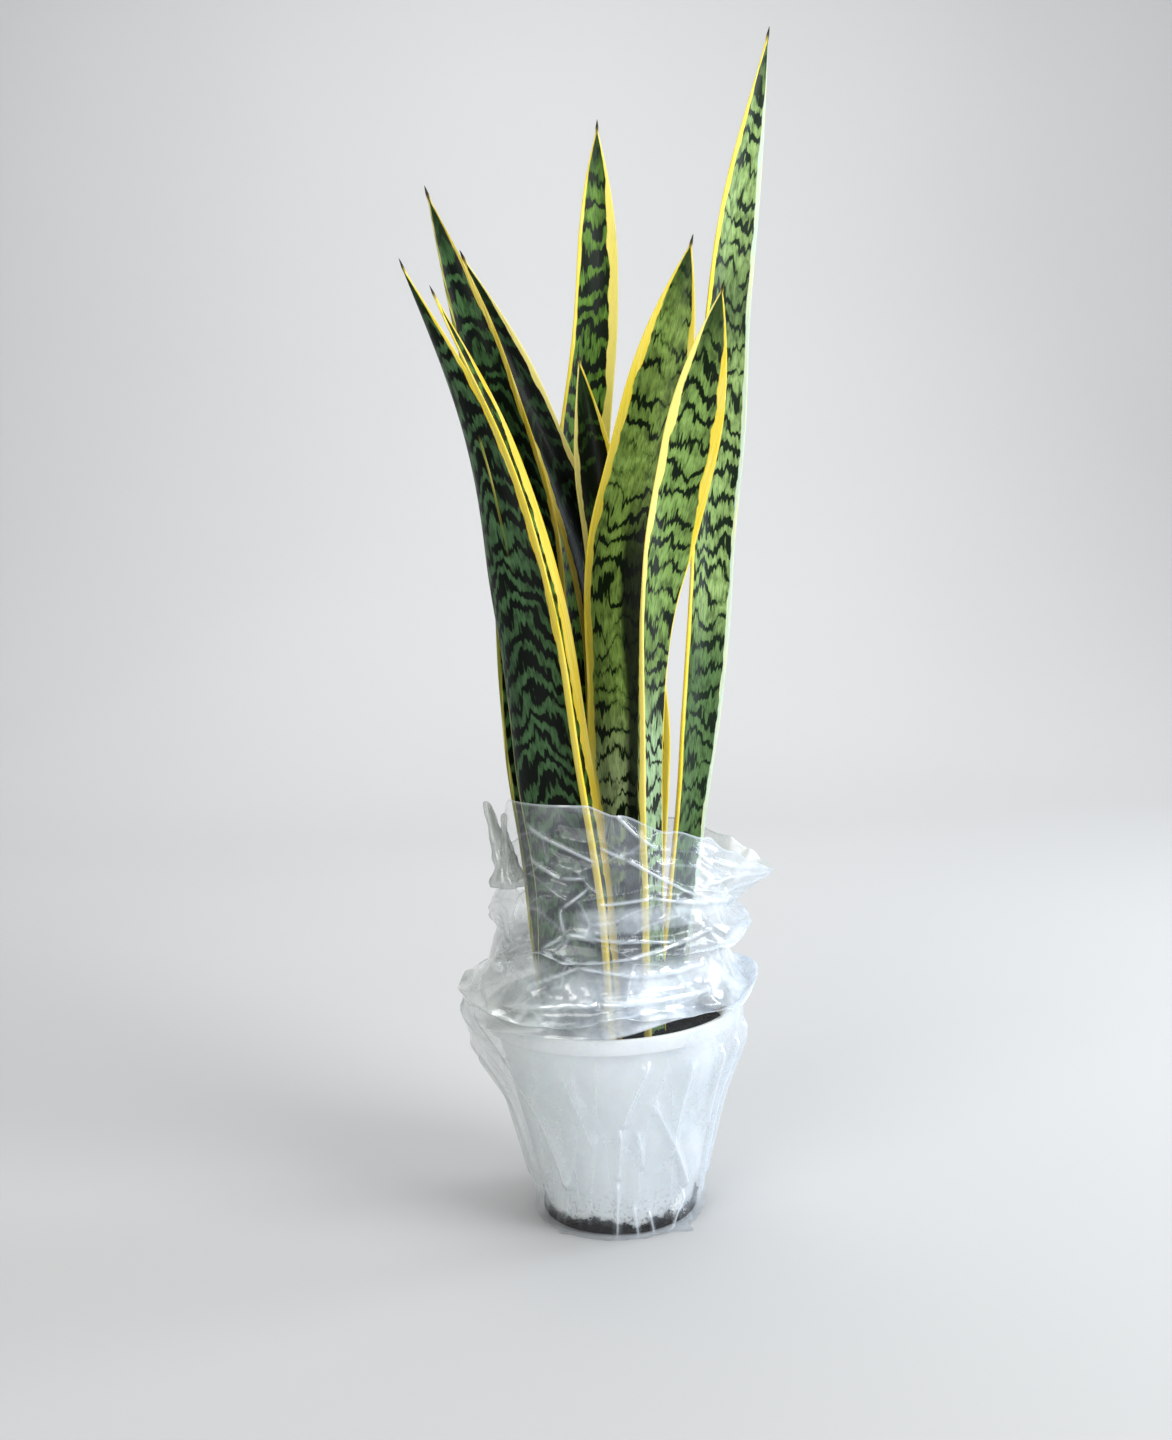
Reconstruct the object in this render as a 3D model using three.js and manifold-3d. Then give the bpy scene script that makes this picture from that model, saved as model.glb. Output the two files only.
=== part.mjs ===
// A snake plant in a white nursery pot, standing in a clear film bag that is pushed down round the pot.
// Millimetres, +Z up. The origin is on the ground, under the middle of the pot. -Y is the front.
import * as THREE from "three";
import { ParametricGeometry } from "three/addons/geometries/ParametricGeometry.js";
import { mergeVertices } from "three/addons/utils/BufferGeometryUtils.js";
import Module from "manifold-3d";

const wasm = await Module();
wasm.setup();

// Fits
const clearance = 0.3; // left between two pieces that touch
const rootClearance = 0.8; // left round a leaf's foot in the soil

const roundSteps = 48; // facets round every turned piece
const laidOutFor = 75; // the rim radius that the leaves and the collar are laid out for

// Pot
const potHeight = 126;
const rimRadius = 75;
const footRadius = 42;
const potWall = 1.4;
const rimDepth = 10; // height of the rolled rim
const rimStep = 6; // how far the rim stands out from the wall under it
const lipWidth = 3; // the rolled rim's flat top, from outside to inside
const footRing = 4; // width of the ring the pot stands on
const footRecess = 3; // the floor is raised inside the foot ring
const drainRadius = 4;
const drainFacets = 12;
const drainCount = 6;
const drainCircle = 0.55 * footRadius; // radius of the ring of drain holes

// Soil
const soilDrop = 14; // soil top below the rim
const soilCrown = 3; // the soil is this much higher in the middle
const spillHeight = 9; // loose soil round the foot, in the bag
const spillWidth = 3.5;

// Film bag
const filmWall = 0.8;
const bagSlack = 1.5; // how far the film stands off the rim
const footSlack = 1; // and off the loose soil at the foot
const bagLeftBulge = 10; // extra slack at the rim on the left
const bellyPower = 1; // under 1, the cone would swell between foot and rim
const plantSpread = rimRadius / laidOutFor; // leaves and collar grow with the pot
const collarRadius = 65 * plantSpread; // the film gathered above the rim
const collarShift = 4 * plantSpread; // the gathered film sits this much to the right
const collarFold = 4 * plantSpread; // depth of the ring-shaped folds in the collar
const collarFolds = 3;
const filmRings = 20; // steps up the film, half of them on the cone
const earReach = 30; // the loose corner on the right
const earDrop = 11; // its height under the bag's edge there
const earSize = 9; // half height of the corner
const earSharpness = 12; // the larger, the narrower the corner seen from above
const edgeRight = 88; // heights of the bag's edge above the rim
const edgeBack = 92;
const edgeLeft = 122;
const edgeFront = 133;

// Leaves
const rootDepth = 26; // length of a leaf's foot in the soil
const footThickness = 5;
const tipThickness = 2.4;
const marginWave = 0.8; // how far the margins wander
const leafFacets = 14; // facets round a leaf's section
const leafRings = 18; // sections along a leaf
const pointWidth = 1e-4; // a leaf's width at its very tip
const waveTurns = 23; // radians of margin wave along a leaf

// Sizes that follow from those above
const potFloor = filmWall + clearance;
const rimTop = potFloor + potHeight;
const soilTop = rimTop - soilDrop;
const bagShoulder = rimTop + 0.2 * rimDepth; // the film turns inward here, just over the rim

// Each leaf: rise is the tip's height over the soil. x and y place its midrib from foot to tip, at even
// steps of height. face is the turn of its face in degrees: 0 looks to the front and 90 to the right.
// curl is the half angle of its channel, and a negative one bulges forward. wide is its width, foot to
// tip, and the larger point is, the blunter the tip.
const leaves = {
  leaf_tall_right: {
    rise: 555, x: [32, 48, 62, 72, 85.5, 108], y: [14, 14, 13, 12, 12, 10],
    face: [50, 52, 46, 40, 38, 45], curl: [45, 40, 35, 25], wide: [26, 34, 40, 42, 42, 38], point: 7,
  },
  leaf_tall_back: {
    rise: 517, x: [-6, -8, -9, -7, 7, 12.5], y: [35, 37, 39, 41, 42, 44],
    face: [10, 15, 25, 30, 25, 15], curl: [45, 40, 30, 20], wide: [26, 32, 37, 37, 36, 38], point: 8,
  },
  leaf_front_middle: {
    rise: 443, x: [11, 15, 15, 17, 37, 60.5], y: [-2, -2, -3, -4, -8, -14],
    face: [20, 15, 10, 5, -5, -10], curl: [50, 60, 50, 25], wide: [32, 44, 56, 53, 54, 54], point: 6.5,
  },
  leaf_front_right: {
    rise: 415, x: [23, 24, 26, 33, 54, 74.5], y: [-26, -28, -32, -36, -38, -40],
    face: [70, 72, 72, 58, 10, 0], curl: [45, 40, 35, 25], wide: [30, 36, 40, 42, 40, 42], point: 8,
  },
  leaf_small_middle: {
    rise: 385, x: [15, 15, 14, 12, 5, -3.5], y: [13, 14, 15, 16, 17, 18],
    face: [0, 5, 5, 0, -5, -5], curl: [50, 70, 65, 55], wide: [20, 24, 28, 32, 36, 32], point: 8,
  },
  leaf_back_left: {
    rise: 479, x: [-28, -31, -35, -39, -56.5, -84], y: [10, 9, 8, 7, 8, 10],
    face: [-25, -20, -15, -10, 0, 10], curl: [45, 45, 40, 30], wide: [30, 44, 50, 48, 42, 36], point: 5,
  },
  leaf_behind_left: {
    rise: 446, x: [-4, 0, 2, -3, -30, -67], y: [19, 20, 21, 22, 25, 28],
    face: [20, 30, 35, 35, 20, 10], curl: [45, 50, 45, 35], wide: [22, 26, 30, 32, 30, 30], point: 7,
  },
  leaf_outer_left: {
    rise: 436, x: [-24, -23, -33, -44.5, -61.5, -96.5], y: [-14, -16, -18, -20, -22, -24],
    face: [-18, -15, -25, -38, -48, -60], curl: [-40, -42, -35, -25], wide: [42, 46, 48, 48, 46, 40],
    point: 5,
  },
  leaf_front_left: {
    rise: 419, x: [1, -2, -11.5, -21.5, -43, -79], y: [-38, -40, -41, -42, -42, -42],
    face: [78, 80, 80, 80, 78, 70], curl: [25, 30, 30, 30], wide: [28, 32, 34, 34, 34, 34], point: 6,
  },
};

// ---- helpers ----

const radians = THREE.MathUtils.degToRad;
const smooth = (from, to, value) => THREE.MathUtils.smoothstep(value, from, to);

/** The value at share t of a smooth line through evenly spaced values. */
function along(values, t) {
  const last = values.length - 1;
  const place = THREE.MathUtils.clamp(t, 0, 1) * last;
  const i = Math.min(Math.floor(place), last - 1);
  const f = place - i;
  const before = i > 0 ? values[i - 1] : 2 * values[0] - values[1];
  const after = i + 2 <= last ? values[i + 2] : 2 * values[last] - values[last - 1];
  const [a, b] = [values[i], values[i + 1]];
  const slope = b - before;
  const bend = 2 * before - 5 * a + 4 * b - after;
  const swing = 3 * (a - b) + after - before;
  return a + 0.5 * f * (slope + f * (bend + f * swing));
}

/** A geometry's solid, with only positions and no needle triangles. */
function solidOf(geometry) {
  const bare = geometry.clone();
  bare.deleteAttribute("normal");
  bare.deleteAttribute("uv");
  const merged = mergeVertices(bare, 1e-3);
  const index = merged.index.array;
  const triangles = [];
  for (let i = 0; i < index.length; i += 3) {
    const [a, b, c] = [index[i], index[i + 1], index[i + 2]];
    if (a !== b && b !== c && a !== c) triangles.push(a, b, c);
  }
  const vertProperties = new Float32Array(merged.attributes.position.array);
  const triVerts = new Uint32Array(triangles);
  return new wasm.Manifold(new wasm.Mesh({ numProp: 3, vertProperties, triVerts }));
}

function geometryOf(solid) {
  const { vertProperties, triVerts } = solid.getMesh();
  const geometry = new THREE.BufferGeometry();
  geometry.setAttribute("position", new THREE.BufferAttribute(vertProperties, 3));
  geometry.setIndex(new THREE.BufferAttribute(triVerts, 1));
  geometry.computeVertexNormals();
  return geometry;
}

/** A body of revolution about the upright axis from [radius, height] pairs. */
function turned(profile) {
  const points = profile.map(([radius, height]) => new THREE.Vector2(radius, height));
  return new THREE.LatheGeometry(points, roundSteps).rotateX(Math.PI / 2);
}

// ---- leaves ----

/** The midrib's point at share t of the leaf's height. t is 0 at the soil and -1 at the end of the foot. */
function midrib(leaf, t, depth) {
  const z = soilTop + t * (t < 0 ? depth : leaf.rise);
  return new THREE.Vector3(plantSpread * along(leaf.x, t), plantSpread * along(leaf.y, t), z);
}

/** The leaf's own directions at share t: up along it, sideways across its face, and out of its face. */
function leafDirections(leaf, t) {
  const step = 0.002;
  const above = Math.min(t + step, 1);
  const up = midrib(leaf, above).sub(midrib(leaf, above - step)).normalize();
  const facing = radians(along(leaf.face, t));
  const sideways = new THREE.Vector3(Math.cos(facing), Math.sin(facing), 0);
  sideways.addScaledVector(up, -sideways.dot(up)).normalize();
  return { sideways, outward: new THREE.Vector3().crossVectors(sideways, up) };
}

/** A leaf's closed skin: a lens-shaped section, bent to a channel, swept up the midrib. grow thickens it. */
function leafGeometry(leaf, grow = 0) {
  const depth = rootDepth + grow;
  const rows = leafRings + 2; // the foot's end is pinched to a line, then the foot, then the blade
  const point = (turn, share, target) => {
    const row = Math.round(share * rows);
    const t = row < 2 ? -1 : (row - 2) / leafRings;
    const blade = Math.max(t, 0);
    const taper = 1 - Math.pow(blade, leaf.point);
    const full = THREE.MathUtils.lerp(footThickness, tipThickness, Math.sqrt(blade));
    const thickness = row === 0 ? 0 : (full + 2 * grow) * Math.sqrt(taper);
    const curl = radians(along(leaf.curl, blade));
    const width = plantSpread * along(leaf.wide, blade) * taper;
    const radius = Math.max(width, pointWidth) / 2 / curl;
    const spread = curl + (Math.sign(curl) * grow) / Math.max(Math.abs(radius), footThickness);
    const across = Math.cos(turn * 2 * Math.PI);
    const inner = radius + (Math.sin(turn * 2 * Math.PI) * thickness) / 2;
    const angle = across * spread;
    const wave = marginWave * across * Math.sin(blade * waveTurns) * taper;
    const { sideways, outward } = leafDirections(leaf, blade);
    const bend = (radius * (1 + Math.cos(curl))) / 2 - inner * Math.cos(angle);
    target.copy(midrib(leaf, t, depth));
    target.addScaledVector(sideways, inner * Math.sin(angle) + wave).addScaledVector(outward, bend);
  };
  return new ParametricGeometry(point, leafFacets, rows);
}

// ---- pot ----

/** The pot's outer radius under the rim, at a height over the pot's foot. */
function wallRadius(height) {
  return THREE.MathUtils.lerp(footRadius, rimRadius - rimStep, height / (potHeight - rimDepth));
}

function potGeometry() {
  const shoulder = potHeight - rimDepth;
  const edge = potWall / 2;
  const floorTop = footRecess + potWall;
  let pot = solidOf(turned([
    [0, footRecess],
    [footRadius - footRing, footRecess],
    [footRadius - footRing + footRecess / 2, 0],
    [footRadius - edge, 0],
    [footRadius, edge],
    [wallRadius(shoulder), shoulder],
    [rimRadius - edge, shoulder + edge],
    [rimRadius, shoulder + rimDepth / 3],
    [rimRadius, potHeight - edge],
    [rimRadius - edge, potHeight],
    [rimRadius - lipWidth + edge, potHeight],
    [rimRadius - lipWidth, potHeight - edge],
    [wallRadius(shoulder) - potWall, shoulder],
    [wallRadius(floorTop) - potWall, floorTop],
    [0, floorTop],
  ]));
  for (let i = 0; i < drainCount; i += 1) {
    const angle = (i / drainCount) * 2 * Math.PI;
    const hole = new THREE.CylinderGeometry(drainRadius, drainRadius, 4 * floorTop, drainFacets);
    hole.rotateX(Math.PI / 2).translate(drainCircle * Math.cos(angle), drainCircle * Math.sin(angle), 0);
    pot = pot.subtract(solidOf(hole));
  }
  return geometryOf(pot).translate(0, 0, potFloor);
}

// ---- soil ----

function soilGeometry() {
  const bottom = footRecess + potWall + clearance;
  const inside = (height) => wallRadius(height) - potWall - clearance;
  const top = soilTop - potFloor;
  let soil = solidOf(turned([
    [0, bottom],
    [inside(bottom), bottom],
    [inside(top - soilCrown), top - soilCrown],
    [0.75 * inside(top), top - soilCrown / 2],
    [0.4 * inside(top), top],
    [0, top],
  ]).translate(0, 0, potFloor));
  for (const leaf of Object.values(leaves)) soil = soil.subtract(solidOf(leafGeometry(leaf, rootClearance)));
  return geometryOf(soil);
}

/** Loose soil that has washed out of the pot and lies round its foot. */
function spillGeometry() {
  const bottom = filmWall + clearance;
  const inner = (height) => Math.max(footRadius, wallRadius(height - potFloor)) + clearance;
  return turned([
    [inner(bottom), bottom],
    [inner(bottom) + 0.7 * spillWidth, bottom],
    [inner(bottom) + spillWidth, bottom + 0.35 * spillHeight],
    [inner(bottom + spillHeight) + 0.3 * spillWidth, bottom + spillHeight],
    [inner(bottom + spillHeight), bottom + spillHeight],
    [inner(bottom), bottom],
  ]);
}

// ---- film bag ----

/** The height of the bag's edge over the rim, all the way round. */
function edgeHeight(angle) {
  const [right, front] = [Math.cos(angle), -Math.sin(angle)];
  const sides = right > 0 ? edgeRight : edgeLeft;
  const ends = front > 0 ? edgeFront : edgeBack;
  return sides * right * right + ends * front * front;
}

/** The loose corner's reach at an angle, at a share of the way up the collar. */
function earAt(angle, collar) {
  const under = (edgeRight * (1 - collar) - earDrop) / earSize;
  return earReach * Math.exp(-under * under) * Math.max(0, Math.cos(angle)) ** earSharpness;
}

/** The film's outer radius. climb is 0 to 1 up the cone, then 1 to 2 up the collar. */
function filmRadius(angle, climb) {
  const foot = footRadius + clearance + spillWidth + footSlack + filmWall;
  const shoulder = rimRadius + clearance + bagSlack + filmWall;
  const bulge = bagLeftBulge * Math.max(0, -Math.cos(angle)) ** 2;
  if (climb <= 1) {
    const underRim = (rimTop - rimDepth) / bagShoulder;
    const cone = THREE.MathUtils.lerp(foot, shoulder, Math.min(climb / underRim, 1) ** bellyPower);
    return cone + bulge * smooth(0.6, 1, climb);
  }
  const collar = climb - 1;
  const gathered = collarRadius + collarShift * Math.cos(angle);
  const neck = THREE.MathUtils.lerp(shoulder, gathered, smooth(0.08, 0.35, collar));
  const folds = collarFold * Math.sin(collar * collarFolds * 2 * Math.PI) * smooth(0.1, 0.3, collar);
  return neck + folds + earAt(angle, collar) + bulge * (1 - smooth(0, 0.3, collar));
}

function filmHeight(angle, climb) {
  if (climb <= 1) return climb * bagShoulder;
  return THREE.MathUtils.lerp(bagShoulder, rimTop + edgeHeight(angle), climb - 1);
}

/** One closed skin: up the outside of the film, over its edge and down the inside. */
function bagGeometry() {
  const rows = 2 * filmRings + 3;
  const skin = (turn, share, target) => {
    const angle = turn * 2 * Math.PI;
    const row = Math.round(share * rows);
    const inside = row > filmRings + 1;
    const ring = (inside ? rows - row : row) - 1;
    const climb = (Math.max(ring, 0) / filmRings) * 2;
    const radius = ring < 0 ? 0 : filmRadius(angle, climb) - (inside ? filmWall : 0);
    const lift = inside ? filmWall * (1 - Math.min(climb, 1)) : 0;
    target.set(radius * Math.cos(angle), radius * Math.sin(angle), filmHeight(angle, climb) + lift);
  };
  return geometryOf(solidOf(new ParametricGeometry(skin, roundSteps, rows)));
}

// ---- the model ----

const group = new THREE.Group();

function add(name, geometry, color, roughness, extra = {}) {
  const material = new THREE.MeshStandardMaterial({ color, roughness, metalness: 0, ...extra });
  const mesh = new THREE.Mesh(geometry, material);
  mesh.name = name;
  group.add(mesh);
}

add("pot", potGeometry(), "#f1f2f0", 0.45);
add("potting_soil", soilGeometry(), "#2b211a", 0.95);
add("spilled_soil", spillGeometry(), "#2b211a", 0.95);
for (const [name, leaf] of Object.entries(leaves)) add(name, leafGeometry(leaf), "#4d7f3a", 0.4);
add("film_bag", bagGeometry(), "#e8eef2", 0.15, { transparent: true, opacity: 0.3 });

export default group;
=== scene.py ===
# %% [markdown]
# # A snake plant in its nursery pot and film bag
# The real thing is bought like this: nine stiff leaves in a white plastic pot of dark soil, standing in a
# clear film bag that was pulled up for the journey and has been pushed down round the rim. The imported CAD
# model says where every piece is. Here each piece is made again finely, in the same place, in metres.

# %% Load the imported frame
import math

import bmesh
import bpy
import numpy as np
from mathutils import Matrix, Vector, noise


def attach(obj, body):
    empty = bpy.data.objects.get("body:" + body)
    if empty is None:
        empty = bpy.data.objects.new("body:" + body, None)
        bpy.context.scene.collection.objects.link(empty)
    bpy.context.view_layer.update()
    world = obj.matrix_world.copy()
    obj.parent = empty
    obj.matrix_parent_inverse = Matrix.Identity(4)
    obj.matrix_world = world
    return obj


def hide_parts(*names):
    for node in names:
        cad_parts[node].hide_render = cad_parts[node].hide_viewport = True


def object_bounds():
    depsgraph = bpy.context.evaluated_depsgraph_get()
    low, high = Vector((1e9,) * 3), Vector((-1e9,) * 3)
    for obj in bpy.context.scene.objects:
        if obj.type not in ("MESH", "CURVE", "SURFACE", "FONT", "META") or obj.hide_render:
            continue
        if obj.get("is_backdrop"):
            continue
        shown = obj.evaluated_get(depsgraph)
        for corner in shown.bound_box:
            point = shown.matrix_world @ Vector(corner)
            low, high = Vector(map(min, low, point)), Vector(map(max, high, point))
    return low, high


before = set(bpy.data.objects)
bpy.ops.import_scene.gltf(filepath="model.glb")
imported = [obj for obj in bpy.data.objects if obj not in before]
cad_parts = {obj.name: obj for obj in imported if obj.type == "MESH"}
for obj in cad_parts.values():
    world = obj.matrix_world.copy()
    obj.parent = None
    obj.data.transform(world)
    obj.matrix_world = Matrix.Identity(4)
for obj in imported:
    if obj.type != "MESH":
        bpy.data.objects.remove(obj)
cad_box = [list(corner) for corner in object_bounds()]
MM = 0.001  # the tables below are in millimetres, as on a workshop drawing
print("CAD box, low and high corner:", [[round(v, 4) for v in corner] for corner in cad_box])

# %% [markdown]
# ## The camera
# The camera comes first, because every later choice is judged through it. It stands a little under a metre
# away, higher than the pot, looks slightly down, and leans a touch to one side. Its directions are built
# from three turns, so each one can be changed alone.

# %% Camera
CAMERA_PLACE = Vector((0, -0.95, 0.43))
CAMERA_TURN = math.radians(-0.499)
CAMERA_DIP = math.radians(8.155)
CAMERA_LEAN = math.radians(2.5)
CAMERA_LENS = 41.639

heading = Vector((math.sin(CAMERA_TURN), math.cos(CAMERA_TURN), 0))
sideways = Vector((math.cos(CAMERA_TURN), -math.sin(CAMERA_TURN), 0))
ahead = math.cos(CAMERA_DIP) * heading - math.sin(CAMERA_DIP) * Vector((0, 0, 1))
level_up = math.sin(CAMERA_DIP) * heading + math.cos(CAMERA_DIP) * Vector((0, 0, 1))
view_right = math.cos(CAMERA_LEAN) * sideways - math.sin(CAMERA_LEAN) * level_up
view_up = math.sin(CAMERA_LEAN) * sideways + math.cos(CAMERA_LEAN) * level_up

camera_data = bpy.data.cameras.new("camera")
camera_data.sensor_width = 36
camera_data.lens = CAMERA_LENS
camera = bpy.data.objects.new("camera", camera_data)
camera_axes = Matrix((view_right, view_up, -ahead)).transposed().to_4x4()
camera.matrix_world = Matrix.Translation(CAMERA_PLACE) @ camera_axes
bpy.context.scene.collection.objects.link(camera)
bpy.context.scene.camera = camera
print("camera looks along", [round(v, 3) for v in ahead])

# %% [markdown]
# ## Two small tools
# Every mesh here is a list of points and faces, so one helper turns those into a smooth object. Every
# finish is a handful of shader nodes, so one class adds nodes with short calls and keeps the wiring
# readable. Numbers that are the same all over a surface are set on the shader itself.

# %% Mesh helper


def add_mesh(name, points, faces, smooth=True):
    """A new object from points in metres and faces as tuples of point numbers."""
    mesh = bpy.data.meshes.new(name)
    mesh.from_pydata([tuple(p) for p in points], [], [tuple(f) for f in faces])
    mesh.polygons.foreach_set("use_smooth", [smooth] * len(mesh.polygons))
    mesh.update()
    piece = bpy.data.objects.new(name, mesh)
    bpy.context.scene.collection.objects.link(piece)
    return piece


def polar(radius, angle, height):
    """The place at a radius and angle round the upright axis."""
    return (radius * math.cos(angle), radius * math.sin(angle), height)


def ring_faces(rows, around):
    """Quads that join rows of points, each row going round with that many points."""
    faces = []
    for row in range(rows - 1):
        for i in range(around):
            j = (i + 1) % around
            low, high = row * around, (row + 1) * around
            faces.append((low + i, low + j, high + j, high + i))
    return faces


def tube_faces(rows, around):
    """The same quads, with a cap on each end."""
    last = (rows - 1) * around
    caps = [tuple(reversed(range(around))), tuple(range(last, last + around))]
    return ring_faces(rows, around) + caps


def weld(piece, distance):
    """Joins points that lie closer than distance, in metres, and turns all faces outward."""
    shape = bmesh.new()
    shape.from_mesh(piece.data)
    bmesh.ops.remove_doubles(shape, verts=shape.verts, dist=distance)
    bmesh.ops.recalc_face_normals(shape, faces=shape.faces)
    shape.to_mesh(piece.data)
    shape.free()


def set_attribute(piece, name, values):
    """One number per point, which the material can read by that name."""
    attribute = piece.data.attributes.new(name, "FLOAT", "POINT")
    attribute.data.foreach_set("value", np.asarray(values, np.float32))


# %% Material helper


def colour(red, green, blue):
    """A colour given as 0 to 255, turned into the linear numbers that shaders use."""
    shares = [c / 255 for c in (red, green, blue)]
    return [c / 12.92 if c <= 0.04045 else ((c + 0.055) / 1.055) ** 2.4 for c in shares] + [1.0]


class Finish:
    """A material being wired. Each call adds one node and gives back what comes out of it."""

    def __init__(self, name, **sockets):
        self.material = bpy.data.materials.new(name)
        self.material.use_nodes = True
        self.tree = self.material.node_tree
        self.surface = self.tree.nodes["Principled BSDF"]
        for socket, value in sockets.items():
            self.surface.inputs[socket.replace("_", " ")].default_value = value

    def feed(self, socket, value):
        """Links a node's output to a socket, or sets a plain number or colour on it."""
        if isinstance(value, bpy.types.NodeSocket):
            self.tree.links.new(value, socket)
        else:
            socket.default_value = value

    def node(self, kind, inputs=(), **settings):
        made = self.tree.nodes.new("ShaderNode" + kind)
        for key, value in settings.items():
            setattr(made, key, value)
        for key, value in dict(inputs).items():
            self.feed(made.inputs[key], value)
        return made

    def math(self, operation, *values):
        made = self.node("Math", enumerate(values), operation=operation)
        return made.outputs[0]

    def plus(self, first, second):
        return self.math("ADD", first, second)

    def minus(self, first, second):
        return self.math("SUBTRACT", first, second)

    def times(self, first, second):
        return self.math("MULTIPLY", first, second)

    def ease(self, value, low, high, start=0.0, end=1.0):
        """Goes smoothly from start to end as value goes from low to high."""
        inputs = {"Value": value, "From Min": low, "From Max": high, "To Min": start, "To Max": end}
        return self.node("MapRange", inputs, interpolation_type="SMOOTHSTEP").outputs[0]

    def mix(self, share, first, second):
        """first where share is 0 and second where it is 1."""
        made = self.node("Mix", {"Factor": share}, data_type="RGBA")
        self.feed(made.inputs[6], first)
        self.feed(made.inputs[7], second)
        return made.outputs[2]

    def number(self, name):
        """The number that each point of the mesh carries under that name."""
        return self.node("Attribute", attribute_name=name).outputs["Fac"]

    def place(self, x, y, z=0.0):
        return self.node("CombineXYZ", {"X": x, "Y": y, "Z": z}).outputs[0]

    def noise(self, vector, scale=1.0, detail=2.0, roughness=0.5):
        inputs = {"Vector": vector, "Scale": scale, "Detail": detail, "Roughness": roughness}
        return self.node("TexNoise", inputs).outputs[0]

    def object_place(self):
        return self.node("TexCoord").outputs["Object"]

    def bump(self, height, distance, strength):
        return self.node("Bump", {"Height": height, "Distance": distance, "Strength": strength}).outputs[0]

    def drive(self, **sockets):
        """Links node outputs to the shader's sockets, and gives the finished material."""
        for socket, value in sockets.items():
            self.feed(self.surface.inputs[socket.replace("_", " ")], value)
        print("finish:", self.material.name, "with", len(self.tree.nodes), "nodes")
        return self.material


# %% [markdown]
# ## The leaves
# A snake plant's leaf is a thick strap. It stands up from the soil as a deep channel, opens out as it
# climbs, keeps its width nearly to the end, and closes in a short stiff spike. Each leaf is swept: a
# lens-shaped section is bent round an arc and carried up a midrib, which is a smooth line through six
# places. The numbers are those of the CAD leaves, with far more rows and a rounder edge. Each point also
# remembers how far it is from the midrib and from the soil, and the paint below is laid out on that.

# %% Leaf sizes
SOIL_TOP = 113.1
ROOT_DEPTH = 26
FOOT_THICKNESS, TIP_THICKNESS = 5.0, 2.4
MARGIN_WAVE, WAVE_TURNS = 0.8, 23
SPIKE_LENGTH, SPIKE_WIDTH = 5.0, 1.7
# Each leaf: rise is its height over the soil. x and y are its midrib's places, and face is the way it faces
# in degrees, at six even heights. curl is half the angle of its channel, which opens backward where it is
# negative, and wide is its width, at even heights too. A higher point makes the tip blunter.
LEAVES = {
    "leaf_tall_right": dict(
        rise=555, x=[32, 48, 62, 72, 85.5, 108], y=[14, 14, 13, 12, 12, 10],
        face=[50, 52, 46, 40, 38, 45], curl=[45, 40, 35, 25], wide=[26, 34, 40, 42, 42, 38], point=7,
    ),
    "leaf_tall_back": dict(
        rise=517, x=[-6, -8, -9, -7, 7, 12.5], y=[35, 37, 39, 41, 42, 44],
        face=[10, 15, 25, 30, 25, 15], curl=[45, 40, 30, 20], wide=[26, 32, 37, 37, 36, 38], point=8,
    ),
    "leaf_front_middle": dict(
        rise=443, x=[11, 15, 15, 17, 37, 60.5], y=[-2, -2, -3, -4, -8, -14],
        face=[20, 15, 10, 5, -5, -10], curl=[50, 60, 50, 25], wide=[32, 44, 56, 53, 54, 54], point=6.5,
    ),
    "leaf_front_right": dict(
        rise=415, x=[23, 24, 26, 33, 54, 74.5], y=[-26, -28, -32, -36, -38, -40],
        face=[70, 72, 72, 58, 10, 0], curl=[45, 40, 35, 25], wide=[30, 36, 40, 42, 40, 42], point=8,
    ),
    "leaf_small_middle": dict(
        rise=385, x=[15, 15, 14, 12, 5, -3.5], y=[13, 14, 15, 16, 17, 18],
        face=[0, 5, 5, 0, -5, -5], curl=[50, 70, 65, 55], wide=[20, 24, 28, 32, 36, 32], point=8,
    ),
    "leaf_back_left": dict(
        rise=479, x=[-28, -31, -35, -39, -56.5, -84], y=[10, 9, 8, 7, 8, 10],
        face=[-25, -20, -15, -10, 0, 10], curl=[45, 45, 40, 30], wide=[30, 44, 50, 48, 42, 36], point=5,
    ),
    "leaf_behind_left": dict(
        rise=446, x=[-4, 0, 2, -3, -30, -67], y=[19, 20, 21, 22, 25, 28],
        face=[20, 30, 35, 35, 20, 10], curl=[45, 50, 45, 35], wide=[22, 26, 30, 32, 30, 30], point=7,
    ),
    "leaf_outer_left": dict(
        rise=436, x=[-24, -23, -33, -44.5, -61.5, -96.5], y=[-14, -16, -18, -20, -22, -24],
        face=[-18, -15, -25, -38, -48, -60], curl=[-40, -42, -35, -25],
        wide=[42, 46, 48, 48, 46, 40], point=5,
    ),
    "leaf_front_left": dict(
        rise=419, x=[1, -2, -11.5, -21.5, -43, -79], y=[-38, -40, -41, -42, -42, -42],
        face=[78, 80, 80, 80, 78, 70], curl=[25, 30, 30, 30], wide=[28, 32, 34, 34, 34, 34], point=6,
    ),
}
print(len(LEAVES), "leaves, the tallest", max(leaf["rise"] for leaf in LEAVES.values()), "mm over the soil")

# %% Leaf shape
SMALL_STEP = 0.002  # the share of the midrib over which its direction is measured


def along(values, t):
    """The value at share t of a smooth line through evenly spaced values."""
    last = len(values) - 1
    place = min(max(t, 0.0), 1.0) * last
    i = min(int(place), last - 1)
    share = place - i
    before = values[i - 1] if i > 0 else 2 * values[0] - values[1]
    after = values[i + 2] if i + 2 <= last else 2 * values[last] - values[last - 1]
    a, b = values[i], values[i + 1]
    bend = 2 * before - 5 * a + 4 * b - after
    swing = 3 * (a - b) + after - before
    return a + 0.5 * share * (b - before + share * (bend + share * swing))


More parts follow.
